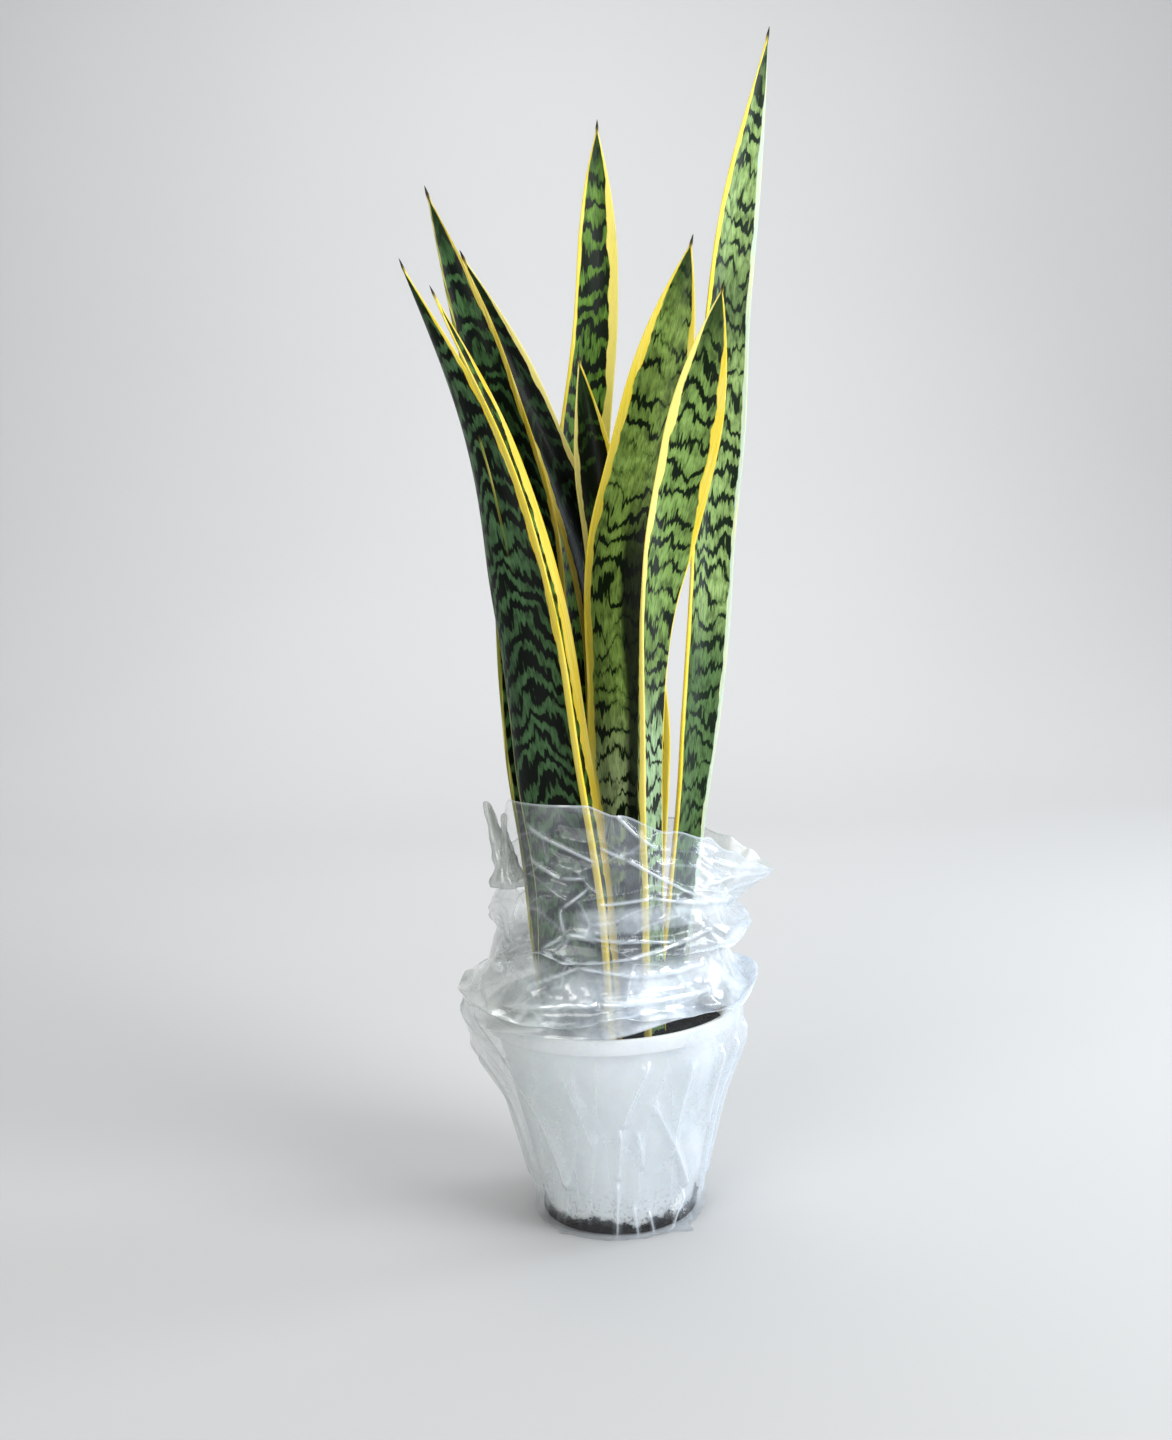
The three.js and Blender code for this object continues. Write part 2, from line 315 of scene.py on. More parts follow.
def midrib(leaf, t):
    """The midrib's point, in millimetres. t is 0 at the soil, 1 at the tip and -1 at the foot's end."""
    z = SOIL_TOP + t * (ROOT_DEPTH if t < 0 else leaf["rise"])
    return Vector((along(leaf["x"], t), along(leaf["y"], t), z))


def leaf_directions(leaf, t):
    """Sideways across the leaf's face, outward from its face, and up along its midrib."""
    above = min(t + SMALL_STEP, 1)
    up = (midrib(leaf, above) - midrib(leaf, above - SMALL_STEP)).normalized()
    facing = math.radians(along(leaf["face"], t))
    aside = Vector((math.cos(facing), math.sin(facing), 0))
    aside = (aside - up * aside.dot(up)).normalized()
    return aside, aside.cross(up), up


# %% Leaf mesh
LEAF_ROWS = 170
LEAF_AROUND = 40
EDGE_ROUND = 0.6  # under 1, the section is fuller towards its edges
ROW_CROWDING = 1.35  # over 1, rows lie closer together near the tip
WANDER_SIZE, WANDER_PACE = 0.9, 9  # how far the margins stray, in mm, and how often


def leaf_rows(leaf):
    """Heights for the rows: even up the blade, closer together near the tip, then the spike."""
    foot = [-1, -0.6, -0.2]
    blade = [1 - (1 - i / LEAF_ROWS) ** ROW_CROWDING for i in range(LEAF_ROWS + 1)]
    spike = [1 + SPIKE_LENGTH / leaf["rise"] * share for share in (0.2, 0.4, 0.6, 0.8, 0.95)]
    return foot + blade + spike


def build_leaf(name, leaf, seed):
    """One blade: a lens-shaped section, bent round an arc, carried up the midrib."""
    points, across_mm, half_mm, along_mm = [], [], [], []
    rows = leaf_rows(leaf)
    for t in rows:
        blade = min(max(t, 0.0), 1.0)
        taper = 1 - blade ** leaf["point"]
        over = max(t - 1, 0.0) * leaf["rise"] / SPIKE_LENGTH
        spike = SPIKE_WIDTH * (1 - over) ** 0.8
        width = max(along(leaf["wide"], blade) * taper, spike)
        full = FOOT_THICKNESS + (TIP_THICKNESS - FOOT_THICKNESS) * math.sqrt(blade)
        thickness = max(full * math.sqrt(taper), spike * 0.8)
        curl = math.radians(along(leaf["curl"], blade))
        radius = width / 2 / curl
        centre = midrib(leaf, min(t, 1.0))
        aside, outward, up = leaf_directions(leaf, blade)
        centre += up * over * SPIKE_LENGTH
        wander = noise.noise(Vector((seed * 7.1, blade * WANDER_PACE, 0))) * WANDER_SIZE
        for k in range(LEAF_AROUND):
            turn = 2 * math.pi * k / LEAF_AROUND
            across = math.cos(turn)
            bulge = math.copysign(abs(math.sin(turn)) ** EDGE_ROUND, math.sin(turn))
            inner = radius + bulge * thickness / 2
            angle = across * curl
            wave = (MARGIN_WAVE * math.sin(blade * WAVE_TURNS) + wander * abs(across)) * across * taper
            lift = radius * (1 + math.cos(curl)) / 2 - inner * math.cos(angle)
            points.append((centre + aside * (inner * math.sin(angle) + wave) + outward * lift) * MM)
            across_mm.append(across * width / 2)
            half_mm.append(width / 2)
            along_mm.append(blade * leaf["rise"] + over * SPIKE_LENGTH)
    piece = add_mesh(name + "_blade", points, tube_faces(len(rows), LEAF_AROUND))
    set_attribute(piece, "across", across_mm)
    set_attribute(piece, "half", half_mm)
    set_attribute(piece, "along", along_mm)
    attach(piece, "root")
    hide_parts(name)
    return piece


blades = {name: build_leaf(name, leaf, seed) for seed, (name, leaf) in enumerate(LEAVES.items())}
print("points in the leaves:", sum(len(blade.data.vertices) for blade in blades.values()))

# %% [markdown]
# ## The leaves' paint
# This cultivar's leaf is dark green with pale grey-green bands across it. Seen close, a band's edge is
# not a line but a row of fine spikes that run up and down the leaf, and the bands sag and rise across it.
# Both margins are golden. An image could carry that, but a few stretched noises do it at any distance:
# a broad one bends the bands, and a very narrow, tall one gives them their spikes. Each leaf has its own
# numbers: a young one is pale, and one that stands in the shade of the others is painted nearly
# black-green, with darker ochre margins, as painted shade.

# %% Leaf paint
GOLD = colour(240, 214, 62)
CREAM = colour(246, 232, 140)
# the gold margin painted darker, as it looks in shade: a painted shade
GOLD_IN_SHADE = colour(190, 164, 40)
TIP_GREEN = colour(24, 46, 18)
SPIKE_BROWN = colour(52, 44, 24)
# the nearly black green of a painted shadow on a leaf
PAINTED_SHADOW_GREEN = colour(5, 12, 6)
MARGIN_FADE = 70.0  # the margins narrow over this length below the tip
PAINTED_SHADOW_TOP = 330.0  # a leaf's painted shadow strip dies out at this height over the soil
PAINTED_SHADOW_FADE, TINT_SOFT = 60, 30  # the heights over which that strip, and half a tint's edge, fade
THIN_MARGIN, MARGIN_GROWTH = 0.8, 14  # a thin margin's width, and half the height over which it widens
BAND_EDGE = 0.28  # how soft a band's edges are
RELIEF = 0.0003  # the depth of the leaf's fine grain, in metres


def leaf_paint(name, seed, leaf, dark, light, cover, left, right, left_colour=GOLD, right_colour=GOLD,
               right_from=0.0, fade_length=MARGIN_FADE, period=14.0, chevron=0.0, tints=(), painted_shadow_width=0.0,
               streak=None):
    """Bands, spikes and margins. cover is the share of the leaf that is light, period the height of a light
    and a dark band together, and chevron how steeply bands rise to both sides. left and right are the
    margins' widths in millimetres, and the right one is thin under right_from. tints are spans up the leaf
    that lean to another colour. The shadow width is that of a nearly black strip along the lower right side,
    a painted shadow of the leaf in front, and streak a thin stripe: its place across, its width, and its
    lowest and highest places."""
    f = Finish(name + "_paint", IOR=1.4, Specular_IOR_Level=0.16, Coat_Weight=0.05, Coat_Roughness=0.2)
    across = f.number("across")
    half = f.number("half")
    height = f.number("along")

    def streaks(width, length, detail=2.0, shift=0.0):
        """Noise whose marks are width wide across the leaf and length long up it."""
        x = f.math("DIVIDE", across, width)
        z = f.math("DIVIDE", height, length)
        return f.noise(f.place(x, z, seed * 3.7 + shift), detail=detail)

    def signed(value, size):
        """Noise of 0 to 1 turned into a shift of up to half of size either way."""
        return f.times(f.minus(value, 0.5), size)

    # a band is where a sine up the leaf, bent and roughened by noise, is over a threshold
    sag = f.plus(signed(streaks(15, 30), 40), f.times(f.math("ABSOLUTE", across), chevron))
    spikes = signed(streaks(1.9, 16, 3.0, 1.3), 16)
    phase = f.math("DIVIDE", f.plus(f.plus(height, sag), spikes), period)
    swing = f.math("SINE", f.times(phase, 2 * math.pi))
    swing = f.plus(swing, signed(streaks(10, 30, 3.0, 5.1), 2.6))
    swing = f.plus(swing, signed(streaks(60, 42, 1.0, 41.0), 2.0))
    threshold = math.sin((0.5 - cover) * math.pi)
    band = f.ease(swing, threshold - BAND_EDGE, threshold + BAND_EDGE)
    fine = streaks(0.7, 7, 2.0, 2.6)
    mottle = streaks(3.2, 8, 4.0, 31.0)
    band = f.times(band, f.ease(fine, 0.28, 0.6, 0.6, 1.0))
    band = f.times(band, f.ease(mottle, 0.3, 0.55, 0.45, 1.0))
    bright = [min(share * part, 1) for share, part in zip((1.55, 1.45, 1.75), light)] + [1.0]
    fresh = f.mix(f.ease(f.plus(swing, signed(mottle, 1.6)), 0.3, 1.9, 0.0, 0.75), light, bright)
    for low, high, tint, share in tints:
        over_low = f.ease(height, low - TINT_SOFT, low + TINT_SOFT)
        under_high = f.ease(height, high - TINT_SOFT, high + TINT_SOFT, 1.0, 0.0)
        fresh = f.mix(f.times(f.times(over_low, under_high), share), fresh, tint)
    green = f.mix(band, dark, fresh)
    green = f.mix(f.ease(streaks(9, 60, 3.0, 8.0), 0.45, 0.75, 0.0, 0.45), green, dark)
    # painted shadow: the lower right side, shaded by the leaf in front, is painted nearly black
    if painted_shadow_width:
        inside = f.ease(f.minus(f.minus(half, across), painted_shadow_width), -2.5, 2.0, 1.0, 0.0)
        shade = f.times(inside, f.ease(height, PAINTED_SHADOW_TOP - PAINTED_SHADOW_FADE, PAINTED_SHADOW_TOP, 0.94, 0.0))
        green = f.mix(shade, green, PAINTED_SHADOW_GREEN)
    to_tip = f.minus(leaf["rise"], height)
    green = f.mix(f.ease(to_tip, 6, 46, 0.85, 0.0), green, TIP_GREEN)

    def edge(distance, width, shift):
        """1 on a margin that is about width wide, 0 past it. It narrows towards the tip."""
        narrow = f.ease(to_tip, 4, fade_length, 0.12, 1.0)
        uneven = f.ease(streaks(30, 20, 3.0, shift), 0.3, 0.7, 0.75, 1.25)
        here = f.times(f.times(uneven, width), narrow)
        over = f.minus(distance, here)
        return f.ease(over, -0.25, 0.35, 1.0, 0.0)

    from_left = f.plus(half, across)
    from_right = f.minus(half, across)
    fade = f.ease(streaks(1.0, 34, 3.0, 17.0), 0.4, 0.72, 0.0, 0.6)
    stain = f.ease(streaks(0.5, 26, 2.0, 23.0), 0.64, 0.7, 0.0, 0.35)
    # margins are gold, fade to cream in streaks, and carry a few green stains
    left_tint = f.mix(stain, f.mix(fade, left_colour, CREAM), light)
    right_tint = f.mix(stain, f.mix(fade, right_colour, CREAM), light)
    base = f.mix(edge(from_left, left, 11.0), green, left_tint)
    if right_from:
        right = f.ease(height, right_from - MARGIN_GROWTH, right_from + MARGIN_GROWTH, THIN_MARGIN, right)
    base = f.mix(edge(from_right, right, 14.0), base, right_tint)
    if streak:
        middle, width, low, high = streak
        off = f.math("ABSOLUTE", f.minus(across, middle))
        line = f.ease(off, width * 0.4, width * 0.6, 1.0, 0.0)
        span = f.times(f.ease(height, low, low + 70), f.ease(height, high - 8, high, 1.0, 0.0))
        base = f.mix(f.times(line, span), base, left_tint)
    base = f.mix(f.ease(to_tip, -1, 5, 1.0, 0.0), base, SPIKE_BROWN)
    rough = f.ease(streaks(3, 14, 2.0, 20.0), 0.3, 0.7, 0.3, 0.46)
    relief = f.plus(f.times(fine, 0.6), f.times(band, 0.5))
    return f.drive(Base_Color=base, Roughness=rough, Normal=f.bump(relief, RELIEF, 0.6))


LEAF_COLOURS = {
    "leaf_tall_right": dict(
        dark=colour(12, 30, 10), light=colour(142, 172, 100), cover=0.64, left=3.8, right=2.6,
        # its right margin is a real pale margin, painted bluish-white as a painted sheen from the light on
        # the right
        right_colour=colour(196, 216, 200),
        tints=[(0, 230, colour(72, 106, 62), 0.85), (400, 424, colour(34, 62, 26), 0.95)],
    ),
    "leaf_tall_back": dict(
        dark=colour(6, 20, 3), light=colour(98, 138, 50), cover=0.55, left=2.0, right=5.2, period=15.0,
        right_colour=colour(246, 228, 112),
    ),
    "leaf_front_middle": dict(
        dark=colour(9, 24, 4), light=colour(124, 154, 72), cover=0.66, left=5.0, right=4.2, period=13.5,
        # a strip 27 mm wide down its right side is a painted shadow of the leaf in front
        tints=[(0, 170, colour(186, 206, 150), 0.85)], painted_shadow_width=27.0,
    ),
    "leaf_front_right": dict(
        dark=colour(9, 24, 6), light=colour(124, 156, 80), cover=0.66, left=4.8, right=5.0, period=13.5,
        left_colour=colour(242, 226, 122), right_from=285.0,
        tints=[(0, 190, colour(170, 200, 156), 0.85)],
    ),
    # the next four leaves stand in the shade of the others: their near-black greens are painted shade over
    # their own dark green
    "leaf_small_middle": dict(
        dark=colour(4, 14, 3), light=colour(46, 76, 26), cover=0.3, left=3.0, right=3.4, chevron=0.6,
        left_colour=CREAM,
    ),
    # the ochre and olive margins here and on the next two leaves are gold margins painted darker as painted
    # shade
    "leaf_back_left": dict(
        dark=colour(4, 14, 5), light=colour(58, 94, 50), cover=0.42, left=1.6, right=2.8, chevron=0.8,
        left_colour=colour(120, 124, 40), right_colour=GOLD_IN_SHADE,
    ),
    "leaf_behind_left": dict(
        dark=colour(2, 8, 3), light=colour(32, 58, 30), cover=0.3, left=4.6, right=2.8, chevron=0.7,
        left_colour=GOLD_IN_SHADE, right_colour=CREAM,
    ),
    "leaf_outer_left": dict(
        dark=colour(3, 11, 4), light=colour(66, 100, 62), cover=0.5, left=1.8, right=2.8, chevron=0.9,
        left_colour=colour(120, 124, 40), streak=(3.6, 1.6, 262.0, 345.0),
    ),
    "leaf_front_left": dict(
        dark=colour(10, 30, 8), light=colour(84, 120, 48), cover=0.45, left=14.0, right=11.5,
        right_colour=colour(232, 200, 56), fade_length=170.0,
    ),
}
for seed, (name, blade) in enumerate(blades.items()):
    blade.data.materials.append(leaf_paint(name, seed, LEAVES[name], **LEAF_COLOURS[name]))
print("leaf finishes:", len(LEAF_COLOURS))

# %% [markdown]
# ## The pot
# The pot is blow-thin white plastic: a plain cone with a rolled rim, a raised floor on a foot ring, and
# drain holes. A turned profile is the simplest honest way to make it. The CAD pot is right in shape but
# coarse, so the same profile is turned again with many more steps and rounder corners, and the holes are
# cut by a boolean that is applied at once.

# %% Pot sizes
POT_FLOOR = 1.1
POT_HEIGHT, RIM_RADIUS, FOOT_RADIUS = 126, 75, 42
POT_WALL, RIM_DEPTH, RIM_STEP, LIP_WIDTH = 1.4, 10, 6, 3
FOOT_RING, FOOT_RECESS = 4, 3
DRAIN_RADIUS, DRAIN_COUNT, DRAIN_CIRCLE = 4, 6, 0.55 * FOOT_RADIUS
POT_STEPS = 160
CORNER_SIZE = 1.1


def wall_radius(height):
    """The pot's outer radius under the rim, at a height over the pot's foot."""
    return FOOT_RADIUS + (RIM_RADIUS - RIM_STEP - FOOT_RADIUS) * height / (POT_HEIGHT - RIM_DEPTH)


def rounded(profile, size):
    """The profile with every corner that allows it swapped for a small arc of three points."""
    made = []
    for i, corner in enumerate(profile):
        here = Vector(corner)
        if i == 0 or i == len(profile) - 1:
            made.append(here)
            continue
        before, after = Vector(profile[i - 1]), Vector(profile[i + 1])
        reach = min(size, (before - here).length / 2.2, (after - here).length / 2.2)
        first = here + (before - here).normalized() * reach
        last = here + (after - here).normalized() * reach
        made += [first, (first + last) / 4 + here / 2, last]
    return made


def turned(name, profile, steps):
    """A closed body turned about the upright axis from (radius, height) pairs in millimetres."""
    points = []
    for radius, height in profile:
        for i in range(steps):
            points.append(Vector(polar(radius, 2 * math.pi * i / steps, height)) * MM)
    piece = add_mesh(name, points, ring_faces(len(profile), steps))
    weld(piece, 1e-6)
    return piece


# %% Pot mesh
shoulder = POT_HEIGHT - RIM_DEPTH
floor_top = FOOT_RECESS + POT_WALL
pot_profile = [
    (0, FOOT_RECESS),
    (FOOT_RADIUS - FOOT_RING, FOOT_RECESS),
    (FOOT_RADIUS - FOOT_RING + 1, 0),
    (FOOT_RADIUS, 0),
    (wall_radius(shoulder), shoulder),
    (RIM_RADIUS - 0.4, shoulder + 0.4),
    (RIM_RADIUS, shoulder + RIM_DEPTH / 2),
    (RIM_RADIUS, POT_HEIGHT),
    (RIM_RADIUS - LIP_WIDTH, POT_HEIGHT),
    (wall_radius(shoulder) - POT_WALL, shoulder),
    (wall_radius(floor_top) - POT_WALL, floor_top),
    (0, floor_top),
]
pot = turned("nursery_pot", [(r, h + POT_FLOOR) for r, h in rounded(pot_profile, CORNER_SIZE)], POT_STEPS)
hole_cutter = bmesh.new()
for i in range(DRAIN_COUNT):
    place = Vector(polar(DRAIN_CIRCLE, 2 * math.pi * i / DRAIN_COUNT, POT_FLOOR)) * MM
    bmesh.ops.create_cone(
        hole_cutter, cap_ends=True, segments=32, radius1=DRAIN_RADIUS * MM, radius2=DRAIN_RADIUS * MM,
        depth=4 * floor_top * MM, matrix=Matrix.Translation(place),
    )
cutter_mesh = bpy.data.meshes.new("drain_cutter")
hole_cutter.to_mesh(cutter_mesh)
hole_cutter.free()
cutter = bpy.data.objects.new("drain_cutter", cutter_mesh)
bpy.context.scene.collection.objects.link(cutter)
drill = pot.modifiers.new("drill", "BOOLEAN")
drill.operation = "DIFFERENCE"
drill.object = cutter


def apply_modifiers(piece):
    """Keeps the shape that the modifiers make, and removes them."""
    graph = bpy.context.evaluated_depsgraph_get()
    graph.update()
    shaped = bpy.data.meshes.new_from_object(
        piece.evaluated_get(graph), preserve_all_data_layers=True, depsgraph=graph,
    )
    piece.modifiers.clear()
    piece.data = shaped


apply_modifiers(pot)
bpy.data.objects.remove(cutter)
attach(pot, "root")
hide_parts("pot")
print("pot faces:", len(pot.data.polygons))

# %% [markdown]
# The plastic is smooth and slightly see-through, so light gathers inside it. It carries faint flow marks
# from the mould, and a film of soil dust that thickens towards the foot.

# %% Pot finish


def pot_finish():
    f = Finish("white_pot_plastic", Subsurface_Weight=0.15, Subsurface_Scale=0.004, IOR=1.5,
               Coat_Weight=0.1, Coat_Roughness=0.2)
    place = f.object_place()
    height = f.node("SeparateXYZ", {"Vector": place}).outputs["Z"]
    blotch = f.noise(place, 26, 4.0)
    specks = f.noise(place, 420, 3.0, 0.6)
    base = f.mix(f.ease(blotch, 0.35, 0.7, 0.0, 0.3), colour(236, 240, 242), colour(214, 219, 222))
    near_foot = f.ease(height, 0.004, 0.034, 1.0, 0.0)
    dust = f.times(near_foot, f.ease(specks, 0.5, 0.66))
    base = f.mix(f.times(dust, 0.8), base, colour(96, 84, 70))
    rough = f.ease(blotch, 0.3, 0.7, 0.3, 0.42)
    ripple = f.noise(place, 90, 2.0)
    return f.drive(Base_Color=base, Roughness=rough, Normal=f.bump(ripple, 0.0004, 0.25))


pot.data.materials.append(pot_finish())

# %% [markdown]
# ## The soil
# The mix is dark peat with coarse crumbs. A flat disc would read as card, so the surface is a fine disc
# pushed up and down by noise, and a few hundred separate crumbs lie on it. Every crumb is a small ball
# pulled out of shape. They're joined into one mesh, which keeps the scene light.

# %% Crumbs
CRUMB_ROUGHNESS = 0.45


def crumb_shape(seed):
    """Points and faces of one irregular crumb of radius 1."""
    ball = bmesh.new()
    bmesh.ops.create_icosphere(ball, subdivisions=2, radius=1)
    points = []
    for v in ball.verts:
        bump = noise.noise(v.co * 1.4 + Vector((seed * 5.3, 0, 0)))
        points.append(v.co * (1 + CRUMB_ROUGHNESS * bump * 1.6))
    faces = [tuple(v.index for v in face.verts) for face in ball.faces]
    ball.free()
    return np.array([tuple(p) for p in points]), faces


CRUMB_SHAPES = [crumb_shape(seed) for seed in range(8)]


def crumbs(name, places, sizes, seed):
    """One mesh of crumbs at places, with those sizes, all in millimetres."""
    chance = np.random.default_rng(seed)
    points, faces = [], []
    for place, size in zip(places, sizes):
        shape, its_faces = CRUMB_SHAPES[chance.integers(len(CRUMB_SHAPES))]
        spin = np.linalg.qr(chance.normal(size=(3, 3)))[0]
        stretch = chance.uniform(0.65, 1.15, 3)
        start = len(points)
        points += list(((shape * stretch) @ spin * size / 2 + place) * MM)
        faces += [tuple(start + i for i in face) for face in its_faces]
    return add_mesh(name, points, faces, smooth=False)


def join(piece, *others):
    """Joins others into piece, which keeps its name."""
    with bpy.context.temp_override(active_object=piece, selected_editable_objects=[piece, *others]):
        bpy.ops.object.join()
    return piece


# %% Potting soil
SOIL_CROWN = 3.0
SOIL_RINGS, SOIL_STEPS = 46, 150
SOIL_GAP = 0.3
SOIL_CRUMBS = 420


def inner_wall(height):
    return wall_radius(height) - POT_WALL - SOIL_GAP


def soil_height(x, y, edge):
    """The soil's height in millimetres: a low crown, hollows and crumbs, dying out at the wall."""
    share = min(math.hypot(x, y) / edge, 1.0)
    crown = SOIL_TOP - SOIL_CROWN * share * share
    broad = noise.noise(Vector((x, y, 0)) / 21) * 2.2
    coarse = noise.noise(Vector((x, y, 5)) / 6) * 1.6
    fine = noise.noise(Vector((x, y, 9)) / 2.2) * 0.7
    return crown + (broad + coarse + fine) * (1 - 0.5 * share)


def build_soil():
    """The soil as one closed body, and its radius at the top."""
    edge = inner_wall(SOIL_TOP - POT_FLOOR - SOIL_CROWN)
    bottom = floor_top + SOIL_GAP
    points = []
    for ring in range(SOIL_RINGS + 1):
        radius = edge * max(ring / SOIL_RINGS, 1e-4)
        for i in range(SOIL_STEPS):
            x, y, _ = polar(radius, 2 * math.pi * i / SOIL_STEPS, 0)
            points.append(Vector((x, y, soil_height(x, y, edge))) * MM)
    for radius in (inner_wall(bottom), 1e-4 * edge):
        for i in range(SOIL_STEPS):
            points.append(Vector(polar(radius, 2 * math.pi * i / SOIL_STEPS, POT_FLOOR + bottom)) * MM)
    piece = add_mesh("soil_surface", points, ring_faces(SOIL_RINGS + 3, SOIL_STEPS))
    weld(piece, 2e-5)
    return piece, edge


soil, soil_edge = build_soil()
chance = np.random.default_rng(11)
crumb_places, crumb_sizes = [], []
for _ in range(SOIL_CRUMBS):
    angle = chance.uniform(0, 2 * math.pi)
    x, y, _ = polar(soil_edge * math.sqrt(chance.uniform(0, 0.95)), angle, 0)
    size = chance.uniform(1.2, 5.5)
    crumb_places.append((x, y, soil_height(x, y, soil_edge) + size * 0.12))
    crumb_sizes.append(size)
soil = join(soil, crumbs("soil_crumbs", crumb_places, crumb_sizes, 12))
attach(soil, "root")
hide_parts("potting_soil")
print("soil faces:", len(soil.data.polygons))

# %% [markdown]
# Loose soil has washed out of the drain holes and lies round the pot's foot, caught by the film. It is a
# ragged low bank with crumbs along its top. The bank is a ring turned from a small section whose height
# wanders, and its crumbs come from the same helper.

# %% Spilled soil
SPILL_HEIGHT, SPILL_WIDTH, FILM_WALL = 9.0, 3.5, 0.8
SPILL_STEPS, SPILL_AROUND = 260, 10
SPILL_CRUMBS = 520
spill_bottom = FILM_WALL + SOIL_GAP


def spill_level(angle):
    """How high the bank stands at an angle, in millimetres."""
    way = Vector((math.cos(angle), math.sin(angle), 0))
    share = 0.62 + 0.45 * noise.noise(way * 2.1) + 0.3 * noise.noise(way * 9.0)
    return min(max(share, 0.25), 1.0) * SPILL_HEIGHT


def build_spill():
    """A ring whose section is fullest at the ground and leans on the pot's wall."""
    points = []
    for i in range(SPILL_STEPS):
        angle = 2 * math.pi * i / SPILL_STEPS
        level = spill_level(angle)
        for k in range(SPILL_AROUND):
            turn = 2 * math.pi * k / SPILL_AROUND
            height = spill_bottom + level * (0.5 - 0.5 * math.cos(turn))
            inner = max(FOOT_RADIUS, wall_radius(height - POT_FLOOR)) + SOIL_GAP
            slimming = 1 - 0.45 * (height - spill_bottom) / SPILL_HEIGHT
            radius = inner + SPILL_WIDTH * (0.5 + 0.5 * math.sin(turn)) * slimming
            rough = noise.noise(Vector(polar(radius, angle, height)) / 1.8)
            radius += 0.45 * rough * math.sin(turn / 2)
            points.append(Vector(polar(radius, angle, height)) * MM)
    faces = ring_faces(SPILL_STEPS, SPILL_AROUND)
    last = (SPILL_STEPS - 1) * SPILL_AROUND
    for k in range(SPILL_AROUND):
        j = (k + 1) % SPILL_AROUND
        faces.append((last + k, last + j, j, k))
    return add_mesh("spilled_soil_bank", points, faces)


spill = build_spill()
crumb_places, crumb_sizes = [], []
for _ in range(SPILL_CRUMBS):
    angle = chance.uniform(0, 2 * math.pi)
    level = spill_level(angle)
    size = chance.uniform(0.6, 2.3)
    height = spill_bottom + size / 2 + chance.uniform(0.2, 1.12) * level
    radius = wall_radius(height - POT_FLOOR) + SOIL_GAP + size / 2
    radius += chance.uniform(0, 1) * (SPILL_WIDTH - size) * 0.7
    crumb_places.append(polar(radius, angle, height))
    crumb_sizes.append(size)
spill = join(spill, crumbs("spill_crumbs", crumb_places, crumb_sizes, 13))
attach(spill, "root")
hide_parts("spilled_soil")
print("spilled soil faces:", len(spill.data.polygons))

# %% Soil finish


def soil_finish():
    f = Finish("peat_soil", IOR=1.4, Specular_IOR_Level=0.25)
    place = f.object_place()
    grain = f.noise(place, 900, 5.0, 0.7)
    patch = f.noise(place, 90, 3.0)
    base = f.mix(f.ease(grain, 0.35, 0.7), colour(10, 10, 12), colour(46, 38, 32))
    base = f.mix(f.ease(patch, 0.4, 0.7, 0.0, 0.6), base, colour(28, 26, 28))
    fibre = f.noise(place, 2400, 2.0)
    base = f.mix(f.ease(fibre, 0.66, 0.72, 0.0, 0.8), base, colour(120, 100, 74))
    rough = f.ease(patch, 0.3, 0.7, 0.75, 0.95)
    return f.drive(Base_Color=base, Roughness=rough, Normal=f.bump(grain, 0.0009, 0.9))


peat = soil_finish()
for piece in (soil, spill):
    piece.data.materials.clear()
    piece.data.materials.append(peat)

# %% [markdown]
# ## The film bag
# The bag is one sheet of thin film. It hangs as a loose cone from the rim to the pot's foot, turns in just
# over the rim, and is pushed down there into a collar, like a stocking round an ankle. One corner of its
# mouth sticks out as an ear, and a strip on the other side is twisted into a tail. A turned shell would
# look like glass, so the film is drawn in three sizes of fold: rolls where it doubles back on itself, flat
# facets with sharp edges because film is stiff, and long creases listed one by one. Folds only ever push the
# film outward, away from the pot and the leaves.

# %% Film sizes
RIM_TOP = POT_FLOOR + POT_HEIGHT
BAG_SLACK, FOOT_SLACK, LEFT_BULGE = 1.5, 1.0, 10.0
HUG_GAP, LEAST_GAP = 2.2, 1.2  # how near the film comes to the pot's wall where it hugs it, and anywhere
EAR_REACH, EAR_DROP, EAR_SHARPNESS = 29.0, 21.0, 34
BAG_SHOULDER = RIM_TOP + 0.2 * RIM_DEPTH
UNDER_RIM = RIM_TOP - RIM_DEPTH
FILM_AROUND, FILM_ROWS, FILM_BASE = 480, 300, 14
# the mouth: angle round the bag (0 is right, -90 is front) and height over the rim
MOUTH = [
    (-180, 92), (-163, 116), (-150, 128), (-100, 129), (-84, 123), (-57, 111), (-33, 103), (-16, 91),
    (-10, 83), (-5, 77), (0, 74), (5, 77), (10, 84), (16, 91), (40, 97), (120, 92), (180, 92),
]
# the collar: height over the ground, then the film's radius at the right, front, left and back
COLLAR = [
    (129, 77, 77, 87, 77), (138, 77, 75, 83, 76), (149, 72, 70, 76, 71), (159, 66, 67, 67, 68),
    (172, 75, 68, 61, 69), (183, 66, 67, 61, 67), (190, 66, 68, 64, 66), (202, 67, 67, 58, 66),
    (227, 67, 64, 58, 66), (258, 66, 62, 59, 66),
]


def smooth(low, high, value):
    """Goes from 0 at low to 1 at high with soft ends."""
    share = min(max((value - low) / (high - low), 0.0), 1.0)
    return share * share * (3 - 2 * share)


def blend(low, high, share):
    return low + (high - low) * share


def from_table(table, place, column=1):
    """The value in a column of the table, eased between the rows on either side of place."""
    for before, after in zip(table, table[1:]):
        if place <= after[0]:
            return blend(before[column], after[column], smooth(before[0], after[0], place))
    return table[-1][column]


def to_degrees(angle):
    """An angle in degrees, from -180 to 180."""
    return math.degrees(math.atan2(math.sin(angle), math.cos(angle)))


def collar_radius(angle, height):
    """The collar's radius: an oval through the table's radii for the four sides."""
    right, front = math.cos(angle), -math.sin(angle)
    side = from_table(COLLAR, height, 1 if right > 0 else 3)
    end = from_table(COLLAR, height, 2 if front > 0 else 4)
    return side * right * right + end * front * front


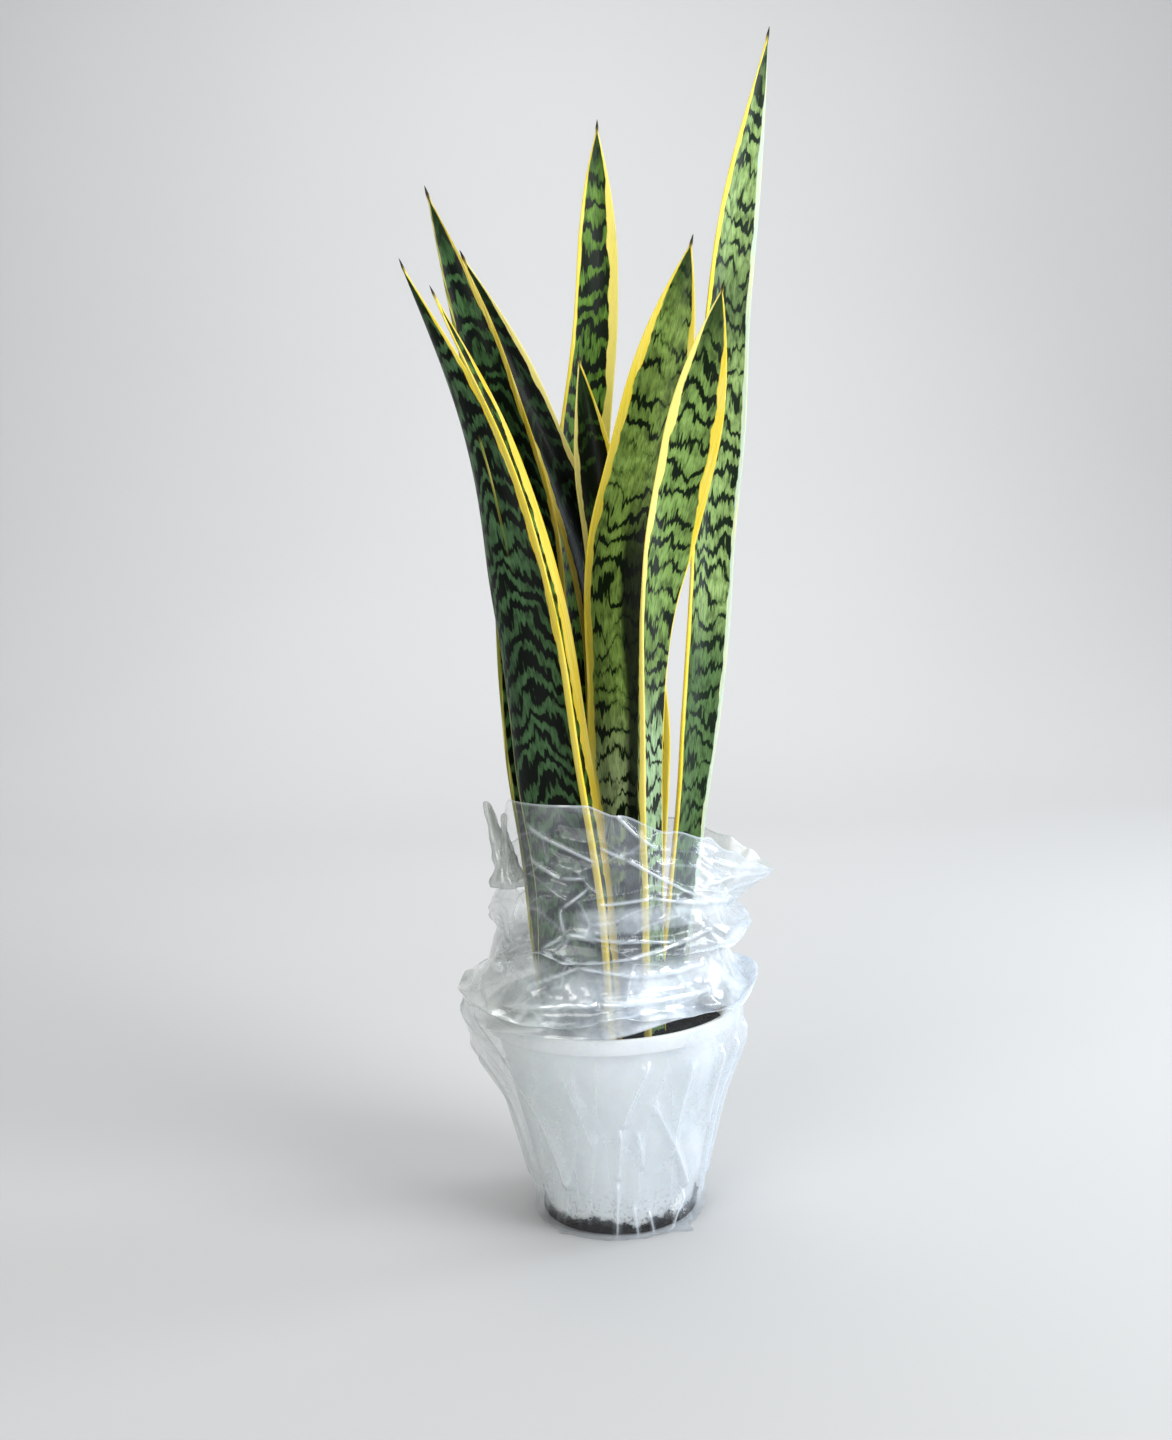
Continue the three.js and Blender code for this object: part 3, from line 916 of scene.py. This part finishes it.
def cone_radius(angle, height):
    """A straight cone that is drawn in to the pot's wall halfway up, and bulges near the rim on the left."""
    foot = FOOT_RADIUS + SOIL_GAP + SPILL_WIDTH + FOOT_SLACK + FILM_WALL
    straight = blend(foot, RIM_RADIUS + SOIL_GAP + BAG_SLACK, min(height / UNDER_RIM, 1))
    wall = wall_radius(height - POT_FLOOR)
    hugging = 0.9 * smooth(0, 26, height) * (1 - smooth(66, 112, height))
    cone = max(blend(straight, wall + HUG_GAP, hugging), wall + LEAST_GAP)
    return cone + LEFT_BULGE * max(0.0, -math.cos(angle)) ** 2 * smooth(0.55, 1, height / BAG_SHOULDER)


mouth_heights = [height for _, height in MOUTH]
print("the bag's mouth is", min(mouth_heights), "to", max(mouth_heights), "mm over the rim")

# %% Drawn creases
# each one: angle and height of its first end, the same for its second, then width and lift in mm
CREASES = [
    (-93, 2, -91, 38, 4.0, 4.6), (-91, 38, -88, 72, 4.4, 4.4), (-88, 72, -76, 114, 4.4, 3.6),
    (-80, 71, -77, 45, 3.4, 3.4), (-74, 88, -45, 26, 4.0, 3.8), (-39, 112, -36, 60, 4.4, 3.8),
    (-30, 14, -24, 112, 4.6, 3.8), (-12, 20, -14, 118, 4.6, 3.2), (-47, 24, -60, 2, 3.6, 5.0),
    (-80, 2, -82, 22, 3.0, 4.0), (-70, 2, -72, 16, 3.0, 4.0), (-60, 50, -56, 110, 4.4, 2.6),
    (-122, 30, -138, 112, 6.0, 3.6), (-150, 20, -158, 108, 6.0, 3.6), (-104, 60, -112, 108, 5.0, 2.6),
    (40, 8, 52, 116, 4.0, 3.0), (95, 8, 82, 110, 4.0, 3.0), (150, 8, 165, 116, 4.0, 3.0),
    (120, 38, 112, 120, 3.5, 2.5), (68, 20, 64, 100, 3.5, 2.0), (-178, 20, -172, 110, 4.0, 2.4),
    (-132, 243, -95, 225, 1.6, 1.1), (-131, 226, -113, 216, 1.6, 1.2), (-112, 216, -100, 217, 2.0, 1.8),
    (-99, 211, -111, 200, 2.0, 1.8), (-112, 200, -110, 186, 2.2, 2.2), (-110, 186, -60, 178, 2.6, 3.0),
    (-60, 178, -36, 180, 2.6, 3.0), (-94, 202, -70, 204, 2.2, 1.6), (-70, 204, -38, 194, 2.4, 2.0),
    (-121, 177, -110, 185, 1.8, 1.6), (-121, 177, -113, 171, 1.8, 1.6), (-113, 171, -91, 171, 2.2, 2.2),
    (-91, 171, -52, 178, 2.2, 2.0), (-93, 233, -81, 226, 1.8, 1.2), (-81, 226, -48, 201, 2.0, 1.6),
    (-86, 252, -74, 237, 2.0, 1.4), (-74, 237, -64, 229, 2.0, 1.2), (-132, 153, -104, 168, 2.6, 2.6),
    (-104, 168, -77, 161, 2.6, 2.8), (-77, 161, -43, 162, 3.0, 3.2), (-140, 143, -96, 148, 3.0, 3.0),
    (-96, 148, -43, 148, 3.2, 3.6), (-30, 216, -3, 203, 2.2, 1.8), (-40, 205, -3, 201, 2.2, 1.8),
    (-16, 192, 0, 199, 2.2, 1.8), (-40, 196, -6, 186, 2.4, 2.0),
    (-176, 132, -142, 118, 3.4, 3.0), (-170, 152, -136, 138, 3.0, 2.8), (-156, 172, -126, 152, 2.6, 2.2),
    (-148, 128, -118, 134, 3.4, 2.6), (-164, 190, -140, 176, 2.2, 1.8), (-150, 214, -134, 198, 1.8, 1.4),
    (60, 205, 95, 180, 2.0, 1.4), (110, 214, 150, 170, 2.0, 1.4), (30, 190, 70, 160, 2.4, 2.0),
]
CREASE_HALF = 1.3  # half the width of a crease's white line


def drawn_creases(angle, height):
    """How far the drawn creases lift the film there, and how near the closest one is, from 0 to 1."""
    lift, nearest = 0.0, 0.0
    for first_angle, first, last_angle, last, width, size in CREASES:
        low, high = min(first, last), max(first, last)
        if not low - 6 < height < high + 6:
            continue
        run = math.radians(last_angle - first_angle) * RIM_RADIUS
        rise = last - first
        off = (angle - math.radians(first_angle) + math.pi) % (2 * math.pi) - math.pi
        x, y = off * RIM_RADIUS, height - first
        length = math.hypot(run, rise)
        share = (x * run + y * rise) / (length * length)
        away = abs(x * rise - y * run) / length
        ends = smooth(-3 / length, 5 / length, share) * (1 - smooth(1 - 5 / length, 1 + 3 / length, share))
        reach = max(1 - away / (1.4 * width), 0.0)
        lift = max(lift, size * smooth(0, 1, reach) * ends)
        nearest = max(nearest, max(1 - away / CREASE_HALF, 0.0) * ends)
    return lift, nearest


print("creases drawn by hand:", len(CREASES))

# %% [markdown]
# Facets come from a voronoi pattern. The distances to the two nearest cell centres differ by 0 along sharp
# lines, and by more towards each cell's middle, as in stiff film that has been crushed. The pattern is read
# on a circle round the bag, so that it closes without a seam. The film is painted whiter along the same
# lines, partly as the whitening of stressed film and partly as a painted highlight along the folds.

# %% Film folds
WAY_RADIUS = 60  # the circle on which the patterns are read, in mm
# facets: width and height of a cell, how far it lifts the film, all in mm, and a seed
CONE_LARGE, CONE_SMALL = (24, 130, 2.8, 3.0), (11, 70, 0.8, 8.0)
COLLAR_LARGE, COLLAR_SMALL = (30, 14, 3.9, 13.0), (12, 8, 1.2, 18.0)
FACET_TOP = 0.8  # the pattern is cut off here, so the middle of a facet is flat
# the spare film at the foot: how far it stands out all round, and more in a flap at one angle
HEM_OUT, FLAP_OUT, FLAP_ANGLE, FLAP_WIDTH = 3.0, 8.0, 314, 6
FOOT_RUFFLE, SLANT = 6.0, 12
# rolls: the height from one to the next, what the left side adds, and how far they go out and double back
ROLL_PACE, LEFT_ROLL_PACE, ROLL_OUT, ROLL_UP = 34.0, 12, 2.6, 7.6


def facets(way, height, size):
    """0 on a fold's edge, rising towards the middle of each flat facet."""
    wide, tall, _, seed = size
    near = noise.voronoi(Vector((way.x / wide, way.y / wide + height / tall, seed)))[0]
    return min(near[1] - near[0], FACET_TOP)


def facet_lift(size, facet):
    """How far the facets push the film out, which is most on their edges."""
    return size[2] * (FACET_TOP - facet)


def wander(angle, pace, seed):
    """A smooth value that goes round the bag without a seam."""
    return noise.noise(Vector((math.cos(angle) * pace, math.sin(angle) * pace, seed)))


def cone_folds(angle, climb, way):
    """Radius, height and whiteness of the film under the rim. climb is 0 at the foot, 1 at the shoulder."""
    height = climb * BAG_SHOULDER
    large, small = facets(way, height, CONE_LARGE), facets(way, height, CONE_SMALL)
    loose = smooth(0.0, 0.2, climb) * (1 - 0.75 * smooth(0.8, 0.93, climb))
    radius = cone_radius(angle, height)
    radius += (facet_lift(CONE_LARGE, large) + facet_lift(CONE_SMALL, small)) * loose
    radius += FOOT_RUFFLE * max(0.0, wander(angle, 5.0, 2.0)) * (1 - smooth(0.02, 0.25, climb))
    flap = math.exp(-((math.degrees(angle) % 360 - FLAP_ANGLE) / FLAP_WIDTH) ** 2)
    radius += (HEM_OUT + FLAP_OUT * flap) * (1 - smooth(0.0, 0.1, climb))
    return radius, height, (1 - smooth(0, 0.06, large)) * 0.3 * loose


def collar_folds(angle, climb, way):
    """The same over the rim. climb is 0 at the shoulder and 1 at the mouth."""
    right = math.cos(angle)
    mouth = RIM_TOP + from_table(MOUTH, to_degrees(angle))
    height = blend(BAG_SHOULDER, mouth, climb)
    slanted = height + SLANT * wander(angle, 1.6, 12.0)
    large, small = facets(way, slanted, COLLAR_LARGE), facets(way, slanted, COLLAR_SMALL)
    calm = (1 - 0.55 * smooth(0.7, 1.0, climb)) * smooth(0, 0.1, climb)
    rolled = smooth(0.02, 0.12, climb) * (1 - smooth(0.35, 0.85, climb))
    rolled *= 0.9 + 0.7 * wander(angle, 1.5, 4.0)
    pace = ROLL_PACE + LEFT_ROLL_PACE * max(0.0, -right)
    phase = 2 * math.pi * (height - BAG_SHOULDER) / pace + 1.6 * wander(angle, 1.1, 6.0)
    phase += 1.2 * wander(angle, 3.5, 7.0)
    radius = collar_radius(angle, height) + rolled * ROLL_OUT * (1 + math.sin(phase))
    radius += (facet_lift(COLLAR_LARGE, large) + facet_lift(COLLAR_SMALL, small)) * calm
    radius += EAR_REACH * max(0.0, 1 - (mouth - height) / EAR_DROP) * max(0.0, right) ** EAR_SHARPNESS
    height += rolled * ROLL_UP * math.cos(phase)
    white = max((1 - smooth(0, 0.05, large)) * 0.42 * calm, smooth(0.985, 1.0, climb) * 0.8)
    return radius, height, white


def film_point(angle, climb):
    """A point of the film in millimetres, and how white it is. climb is 0 at the foot, 2 at the mouth."""
    outward = Vector((math.cos(angle), math.sin(angle), 0))
    way = outward * WAY_RADIUS
    if climb <= 1:
        radius, height, white = cone_folds(angle, climb, way)
    else:
        radius, height, white = collar_folds(angle, climb - 1, way)
    lift, nearest = drawn_creases(angle, height)
    return outward * (radius + lift) + Vector((0, 0, height)), max(white, nearest)


# %% [markdown]
# The film isn't equally clear all over. Where one layer lies on a leaf one sees the leaf through it; the
# crushed rolls over the rim are several layers deep and nearly white; only at the front, just over the
# rim, a gap shows a dark wedge of soil. On the right, where the light falls, the film is made cloudier and
# so whiter, which is painted light. That is written on the mesh as a veil, from 0 to 1, and under 0 in the
# gap.

# %% Film mesh
LIFT = 0.4  # the film's underside is this far off the ground
BASE_VEIL, FOOT_VEIL, GAP_VEIL = 0.3, 0.03, -0.5


def film_veil(angle, height):
    """How cloudy the film is there: whiter on the lit right as painted light, crushed over the rim, a band
    at the waist, a gap.
    """
    degrees = to_degrees(angle)
    if height < BAG_SHOULDER:
        # painted light: the film's right front is made cloudier, so it shows whiter where the light falls
        lit = 0.16 * smooth(-62, -40, degrees) * (1 - smooth(-6, 20, degrees))
        return blend(FOOT_VEIL, 0.28 + 0.14 * wander(angle, 2.6, 30.0) + lit, smooth(7, 17, height))
    crushed = 0.76 * (1 - smooth(154, 184, height)) * (0.9 + 0.5 * wander(angle, 2.0, 25.0))
    band = 0.5 * smooth(183, 187, height) * (1 - smooth(196, 204, height)) * smooth(-112, -100, degrees)
    band *= 1 - smooth(0, 20, degrees)
    # painted light: the collar is made cloudier, so whiter, on its lit right side
    lit = 0.3 * smooth(-44, -16, degrees) * (1 - smooth(0, 40, degrees))
    clear = 0.2 + 0.14 * wander(angle, 2.4, 21.0) + lit
    gap_top = 129 + 7 * smooth(-92, -60, degrees)
    gap = smooth(-94, -86, degrees) * (1 - smooth(-44, -34, degrees))
    gap *= 1 - smooth(gap_top - 1, gap_top + 1, height)
    return blend(max(crushed, band, clear), GAP_VEIL, gap)


def build_film():
    """Rings of points from the middle of the base out to the foot, then rows up to the mouth."""
    points, folds, veils = [], [], []
    for ring in range(FILM_BASE):
        share = max(ring / FILM_BASE, 1e-3)
        for i in range(FILM_AROUND):
            rim, _ = film_point(2 * math.pi * i / FILM_AROUND, 0)
            points.append(Vector((rim.x * share, rim.y * share, LIFT)) * MM)
            folds.append(0.0)
            veils.append(BASE_VEIL)
    for row in range(FILM_ROWS + 1):
        for i in range(FILM_AROUND):
            angle = 2 * math.pi * i / FILM_AROUND
            point, fold = film_point(angle, 2 * row / FILM_ROWS)
            point.z = max(point.z, LIFT)
            points.append(point * MM)
            folds.append(fold)
            veils.append(film_veil(angle, point.z))
    piece = add_mesh("film_bag_sheet", points, ring_faces(FILM_BASE + FILM_ROWS + 1, FILM_AROUND))
    piece.data.flip_normals()
    set_attribute(piece, "crease", folds)
    set_attribute(piece, "veil", veils)
    return piece


film = build_film()
print("film points:", len(film.data.vertices))

# %% [markdown]
# The tail is a strip of the same film, twisted like a sweet's wrapper until it forks. It is two flattened
# tubes that taper upward along bent lines, one shorter than the other, and their sections turn as they
# climb and close in round ends.

# %% Film tail
TAIL_STRANDS = [
    # (x, y, z, half width) from the bag up to the tip, in millimetres
    [
        (-57, -12, 200, 9.0), (-58, -10, 211, 7.6), (-61, -8, 222, 6.0), (-64, -7, 233, 5.0),
        (-66.5, -6, 243, 4.8), (-68, -6, 250, 4.6),
    ],
    [
        (-55, -11, 204, 7.0), (-56.5, -9, 216, 5.4), (-57.5, -8, 228, 3.6), (-58, -8, 236, 3.0),
        (-57.5, -8, 243, 2.8),
    ],
]
TAIL_STEPS, TAIL_AROUND, TAIL_TWIST, TAIL_THICKNESS = 60, 16, 4.5, 0.5
TAIL_END = 0.12  # the last share of a strand, where it closes in a round end
TAIL_VEIL, TAIL_CREASE = 0.5, 0.25
TAIL_PLEATS = (0, 5, 10)  # the points round a strand that carry a white crease


def tail_strand(stations, seed):
    """One flattened tube that turns as it climbs through its stations."""
    points = []
    for row in range(TAIL_STEPS + 1):
        t = row / TAIL_STEPS
        place = Vector([along([s[axis] for s in stations], t) for axis in range(3)])
        half = along([s[3] for s in stations], t) * (1 + 0.25 * noise.noise(Vector((t * 7, seed, 0))))
        into_end = max(t - 1 + TAIL_END, 0.0) / TAIL_END
        half *= math.sqrt(max(1 - into_end * into_end, 0.02))
        twist = TAIL_TWIST * t + seed
        for k in range(TAIL_AROUND):
            turn = 2 * math.pi * k / TAIL_AROUND
            pleat = 1 + 0.3 * math.sin(3 * turn + 5 * t)
            wide, thin = half * math.cos(turn) * pleat, TAIL_THICKNESS * half * math.sin(turn) * pleat
            x = wide * math.cos(twist * 0.4) - thin * math.sin(twist * 0.4)
            y = wide * math.sin(twist * 0.4) + thin * math.cos(twist * 0.4)
            points.append((place + Vector((x, y, 0))) * MM)
    return add_mesh("film_tail", points, tube_faces(TAIL_STEPS + 1, TAIL_AROUND))


tail = join(*[tail_strand(stations, seed) for seed, stations in enumerate(TAIL_STRANDS)])
count = len(tail.data.vertices)
set_attribute(tail, "veil", [TAIL_VEIL] * count)
set_attribute(tail, "crease", [TAIL_CREASE * (i % TAIL_AROUND in TAIL_PLEATS) for i in range(count)])
print("tail points:", count)

# %% [markdown]
# A glass shader would be black and noisy here, so the film is a glossy, slightly blue plastic whose alpha
# is its veil. Creases turn white where stressed film scatters light, and their white lines also stand in for
# the highlights along the folds, so they are partly painted highlight; they raise the alpha, and so does
# looking along the sheet, where more film lies in the way: that draws the bag's outline and the rolls' lips.
# The left side, turned from the light, is painted greyer as painted shade.

# %% Film finish
LEAST_ALPHA, MOST_ALPHA = 0.03, 0.96


def film_finish():
    f = Finish(
        "clear_film", IOR=1.5, Specular_IOR_Level=1.0, Coat_Weight=1.0, Coat_Roughness=0.08, Coat_IOR=2.0,
    )
    place = f.object_place()
    cloud = f.noise(place, 42, 4.0, 0.6)
    wrinkle = f.noise(place, 60, 3.0, 0.55)
    thin = f.ease(cloud, 0.3, 0.72, 0.55, 1.35)
    veil = f.times(f.number("veil"), thin)
    # creases are painted white: partly the whitening of stressed film, partly a painted highlight along the
    # folds
    creased = f.times(f.number("crease"), 0.56)
    grazing = f.node("LayerWeight", {"Blend": 0.35}).outputs["Facing"]
    outline = f.times(f.math("POWER", grazing, 2.2), 0.5)
    most = f.math("MINIMUM", f.plus(f.plus(veil, creased), outline), MOST_ALPHA)
    alpha = f.math("MAXIMUM", most, LEAST_ALPHA)
    base = f.mix(cloud, colour(214, 232, 252), colour(242, 247, 252))
    # painted shade: the left side, turned from the light, is painted grey-green
    aside = f.node("SeparateXYZ", {"Vector": place}).outputs["X"]
    base = f.mix(f.ease(aside, -0.075, 0.02, 0.8, 0.0), base, colour(178, 184, 172))
    rough = f.ease(cloud, 0.3, 0.7, 0.1, 0.26)
    return f.drive(Base_Color=base, Roughness=rough, Alpha=alpha, Normal=f.bump(wrinkle, 0.0015, 0.3))


clear_film = film_finish()
for piece in (film, tail):
    piece.data.materials.clear()
    piece.data.materials.append(clear_film)
    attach(piece, "root")
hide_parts("film_bag")

# %% [markdown]
# ## Floor and light
# The plant stands on a plain pale sweep, a floor that curves up into a backdrop, so no horizon shows. A
# large soft light high on the right models the leaves, a weaker one fills from the left, a narrow one at
# the right puts an edge of light on the film, one overhead opens the shadows, and a small one behind the
# plant brightens the backdrop.

# %% Floor
SWEEP_FRONT, SWEEP_BACK, SWEEP_BEND = -6.0, 1.1, 0.9  # in metres, like the two below
SWEEP_HALF_WIDTH, SWEEP_TOP = 8.0, 3.4
BEND_STEPS = 12


def build_sweep():
    """A flat floor, a quarter circle behind it, and an upright back."""
    profile = [(SWEEP_FRONT, 0.0), (SWEEP_BACK, 0.0)]
    for i in range(1, BEND_STEPS + 1):
        turn = math.pi / 2 * i / BEND_STEPS
        profile.append((SWEEP_BACK + SWEEP_BEND * math.sin(turn), SWEEP_BEND - SWEEP_BEND * math.cos(turn)))
    profile.append((SWEEP_BACK + SWEEP_BEND, SWEEP_TOP))
    points = [Vector((x, y, z)) for y, z in profile for x in (-SWEEP_HALF_WIDTH, SWEEP_HALF_WIDTH)]
    faces = [(2 * i, 2 * i + 1, 2 * i + 3, 2 * i + 2) for i in range(len(profile) - 1)]
    return add_mesh("studio_sweep", points, faces)


def sweep_finish():
    """Pale paper with a faint mottle, painted greyer in front and whiter at the back as painted light
    falloff.
    """
    f = Finish("pale_sweep", Roughness=0.85, IOR=1.4, Specular_IOR_Level=0.2)
    place = f.object_place()
    mottle = f.noise(place, 1.3, 2.0)
    back = f.node("SeparateXYZ", {"Vector": place}).outputs["Y"]
    # painted light: a greyer floor in front and a whiter backdrop behind stand in for how the light falls
    # off
    painted_falloff = f.mix(f.ease(back, -0.4, 1.6), colour(192, 192, 192), colour(216, 216, 216))
    return f.drive(Base_Color=f.mix(f.ease(mottle, 0.3, 0.7, 0.0, 0.06), painted_falloff, colour(160, 160, 162)))


sweep = build_sweep()
sweep.data.materials.append(sweep_finish())
sweep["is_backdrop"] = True
print("sweep faces:", len(sweep.data.polygons))

# %% Lights


def soft_light(name, place, target, size, power, tint):
    """A rectangular light at place, aimed at target. Sizes are in metres and power in watts."""
    lamp = bpy.data.lights.new(name, "AREA")
    lamp.shape = "RECTANGLE"
    lamp.size, lamp.size_y = size
    lamp.energy = power
    lamp.color = tint
    thing = bpy.data.objects.new(name, lamp)
    thing.location = place
    thing.rotation_euler = (Vector(target) - Vector(place)).to_track_quat("-Z", "Y").to_euler()
    bpy.context.scene.collection.objects.link(thing)
    print(name, power, "W")


soft_light("key_light", (1.3, -0.9, 1.1), (0, 0, 0.25), (0.9, 1.2), 27, (0.95, 0.98, 1.0))
soft_light("fill_light", (-1.0, -1.6, 0.9), (0, 0, 0.3), (1.2, 1.4), 17, (1.0, 0.99, 0.96))
soft_light("right_light", (1.3, 0.3, 0.5), (0, 0, 0.2), (0.4, 1.0), 9, (0.84, 0.93, 1.0))
soft_light("top_light", (0.0, 0.3, 2.0), (0, 0, 0.2), (1.6, 1.6), 17, (1.0, 1.0, 1.0))
soft_light("backdrop_light", (-0.1, 0.9, 1.4), (-0.1, 1.8, 0.25), (0.7, 0.7), 4.2, (1.0, 1.0, 1.0))

world = bpy.data.worlds.new("studio")
world.use_nodes = True
sky = world.node_tree.nodes["Background"]
sky.inputs["Color"].default_value = (0.9, 0.92, 0.95, 1)
sky.inputs["Strength"].default_value = 0.35
bpy.context.scene.world = world
bpy.context.scene.view_settings.view_transform = "Standard"

# %% [markdown]
# ## The two boxes
# The finished model is built to fill the CAD model's box, give or take a few millimetres of soft film, and
# both boxes are printed side by side.

# %% Finish
visual_box = [list(corner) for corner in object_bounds()]
for name, box in (("cad", cad_box), ("visual", visual_box)):
    print(name, [[round(v, 4) for v in corner] for corner in box])
